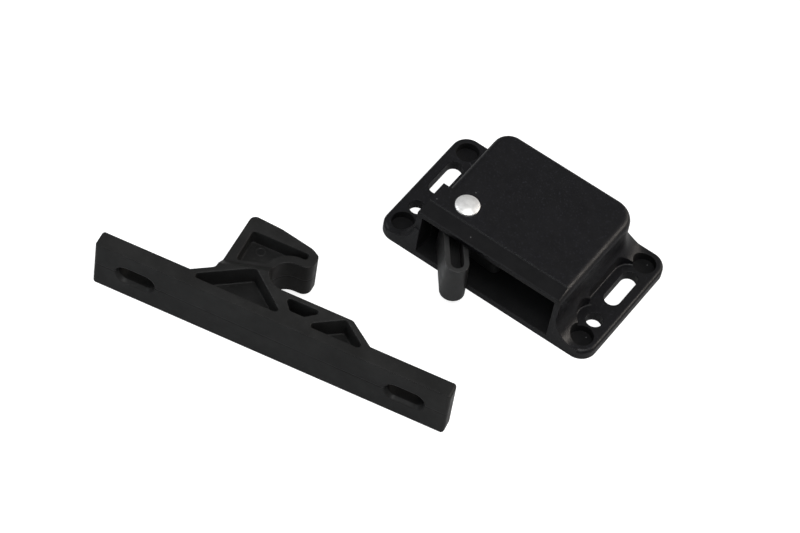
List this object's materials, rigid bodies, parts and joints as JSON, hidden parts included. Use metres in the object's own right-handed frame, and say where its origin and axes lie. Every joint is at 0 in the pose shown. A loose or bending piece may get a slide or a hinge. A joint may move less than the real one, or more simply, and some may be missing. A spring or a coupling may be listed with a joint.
{
  "type": "push to open catch",
  "caption": "Push to open touch catch: flanged moulded housing with a pivoting sprung jaw, and the hooked keeper bar it grips.",
  "frame": {"origin": "middle of the housing's mounting face, on the underside of its base", "axes": "+X along the flanges, to the right when facing the open front; -Y out of the open front; +Z away from the mounting face"},
  "size_m": [0.1043, 0.0913, 0.0174],
  "materials": {
    "housing_plastic": "fine grained moulding, black",
    "jaw_plastic": "smooth satin moulding, black",
    "slide_plastic": "smooth satin moulding, black",
    "keeper_plastic": "smooth satin moulding, charcoal",
    "rivet_metal": "bright, slightly dull from forming",
    "spring_steel": "drawn wire"
  },
  "bodies": {
    "housing_body": {"housing": "housing_plastic", "pivot_rivet": "rivet_metal", "return_spring": "spring_steel", "cam_follower": "spring_steel", "keeper": "keeper_plastic"},
    "jaw_body": {"jaw": "jaw_plastic"},
    "slide_body": {"slide": "slide_plastic"}
  },
  "joints": [
    {"name": "jaw_turn", "type": "hinge", "parent": "housing_body", "child": "jaw_body", "pos_m": [-0.0123, -0.009, 0.008], "axis": [0, 0, 1], "range_deg": [0, 52]},
    {"name": "slide_travel", "type": "slide", "parent": "housing_body", "child": "slide_body", "axis": [0, 1, 0], "range_m": [0, 0.0086], "stiffness_N_per_m": 500, "springref_m": -0.006, "deforming": ["return_spring"]}
  ],
  "couplings": [
    {"joint": "jaw_turn", "follows": "slide_travel", "rad_per_m": 105.5}
  ]
}
